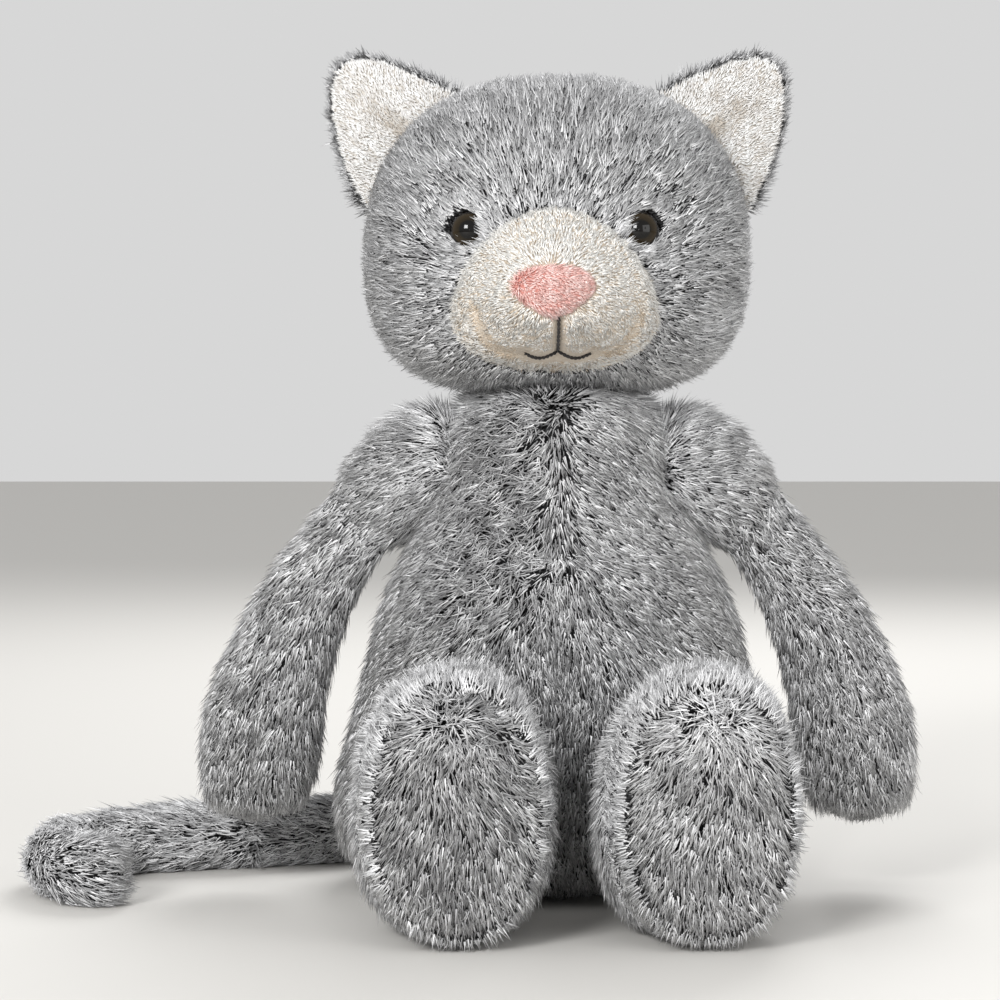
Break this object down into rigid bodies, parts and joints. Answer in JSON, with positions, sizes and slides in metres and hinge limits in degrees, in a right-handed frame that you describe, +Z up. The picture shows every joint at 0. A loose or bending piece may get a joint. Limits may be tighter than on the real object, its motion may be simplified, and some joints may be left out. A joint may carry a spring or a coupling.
{
  "type": "plush cat",
  "caption": "Seated plush cat: round head, upright ears, cream muzzle, hanging arms, legs out in front and a tail curled to one side.",
  "frame": {"origin": "on the floor under the middle of the flat seat", "axes": "+Z up, the cat faces -Y, +X is the cat's own left"},
  "size_m": [0.2254, 0.1671, 0.2147],
  "materials": {
    "grey_fur": "matte",
    "cream_plush": "matte",
    "white_plush": "matte",
    "pink_plush": "matte",
    "black_thread": "satin",
    "eye_plastic": "gloss",
    "washer_plastic": "matte",
    "fibre_fill": "matte",
    "bean_pellets": "satin",
    "pouch_cloth": "matte",
    "label_tape": "satin"
  },
  "bodies": {
    "torso": {"torso_front_left": "grey_fur", "torso_front_right": "grey_fur", "torso_back_left": "grey_fur", "torso_back_right": "grey_fur", "torso_stuffing": "fibre_fill", "bean_pouch_top": "pouch_cloth", "bean_pouch_bottom": "pouch_cloth", "seat_beans": "bean_pellets", "care_label": "label_tape"},
    "neck": {"neck_wad": "fibre_fill"},
    "head": {"face_left": "grey_fur", "face_right": "grey_fur", "head_back": "grey_fur", "head_stuffing": "fibre_fill", "muzzle_cloth": "cream_plush", "muzzle_stuffing": "fibre_fill", "nose_pad": "pink_plush", "mouth_stitching": "black_thread", "eye_left": "eye_plastic", "eye_right": "eye_plastic", "eye_washer_left": "washer_plastic", "eye_washer_right": "washer_plastic"},
    "ear_left": {"ear_outer_left": "grey_fur", "ear_inner_left": "white_plush"},
    "ear_right": {"ear_outer_right": "grey_fur", "ear_inner_right": "white_plush"},
    "shoulder_left": {"shoulder_wad_left": "fibre_fill"},
    "arm_left": {"arm_outer_left": "grey_fur", "arm_inner_left": "grey_fur", "arm_stuffing_left": "fibre_fill"},
    "shoulder_right": {"shoulder_wad_right": "fibre_fill"},
    "arm_right": {"arm_outer_right": "grey_fur", "arm_inner_right": "grey_fur", "arm_stuffing_right": "fibre_fill"},
    "leg_left": {"leg_outer_left": "grey_fur", "leg_inner_left": "grey_fur", "sole_left": "grey_fur", "leg_stuffing_left": "fibre_fill"},
    "leg_right": {"leg_outer_right": "grey_fur", "leg_inner_right": "grey_fur", "sole_right": "grey_fur", "leg_stuffing_right": "fibre_fill"},
    "tail_base": {"tail_base_cloth": "grey_fur", "tail_base_stuffing": "fibre_fill"},
    "tail_middle": {"tail_middle_cloth": "grey_fur", "tail_middle_stuffing": "fibre_fill"},
    "tail_tip": {"tail_tip_upper": "grey_fur", "tail_tip_lower": "grey_fur", "tail_tip_stuffing": "fibre_fill"}
  },
  "joints": [
    {"name": "head_turn", "type": "hinge", "parent": "torso", "child": "neck", "pos_m": [0, 0, 0.102], "axis": [0, 0, 1], "range_deg": [-60, 60]},
    {"name": "head_nod", "type": "hinge", "parent": "neck", "child": "head", "pos_m": [0, 0, 0.102], "axis": [-1, 0, 0], "range_deg": [-15, 20]},
    {"name": "ear_left_flop", "type": "hinge", "parent": "head", "child": "ear_left", "pos_m": [0.03974, 0.00362, 0.19041], "axis": [0.6084, -0.0213, -0.7934], "range_deg": [-20, 20], "stiffness_Nm_per_rad": 0.012},
    {"name": "ear_right_flop", "type": "hinge", "parent": "head", "child": "ear_right", "pos_m": [-0.03939, 0.00638, 0.19041], "axis": [0.6084, -0.0213, 0.7934], "range_deg": [-20, 20], "stiffness_Nm_per_rad": 0.012},
    {"name": "arm_left_swing", "type": "hinge", "parent": "torso", "child": "shoulder_left", "pos_m": [0.035, 0.002, 0.109], "axis": [-1, 0, 0], "range_deg": [-35, 100]},
    {"name": "arm_left_lift", "type": "hinge", "parent": "shoulder_left", "child": "arm_left", "pos_m": [0.035, 0.002, 0.109], "axis": [0, -1, 0], "range_deg": [0, 60]},
    {"name": "arm_right_swing", "type": "hinge", "parent": "torso", "child": "shoulder_right", "pos_m": [-0.035, 0.002, 0.109], "axis": [-1, 0, 0], "range_deg": [-35, 100]},
    {"name": "arm_right_lift", "type": "hinge", "parent": "shoulder_right", "child": "arm_right", "pos_m": [-0.035, 0.002, 0.109], "axis": [0, 1, 0], "range_deg": [0, 60]},
    {"name": "leg_left_swing", "type": "hinge", "parent": "torso", "child": "leg_left", "pos_m": [0.0275, -0.0538, 0.022], "axis": [-1, 0, 0], "range_deg": [-70, 25]},
    {"name": "leg_right_swing", "type": "hinge", "parent": "torso", "child": "leg_right", "pos_m": [-0.0275, -0.0538, 0.022], "axis": [-1, 0, 0], "range_deg": [-70, 25]},
    {"name": "tail_swing", "type": "hinge", "parent": "torso", "child": "tail_base", "pos_m": [-0.004, 0.0565, 0.012], "axis": [0, 0, -1], "range_deg": [0, 120]},
    {"name": "tail_middle_bend", "type": "hinge", "parent": "tail_base", "child": "tail_middle", "pos_m": [-0.055, 0.043, 0.0082], "axis": [0, 0, -1], "range_deg": [-15, 50]},
    {"name": "tail_tip_bend", "type": "hinge", "parent": "tail_middle", "child": "tail_tip", "pos_m": [-0.11, 0.021, 0.0082], "axis": [0, 0, -1], "range_deg": [-40, 60]}
  ]
}
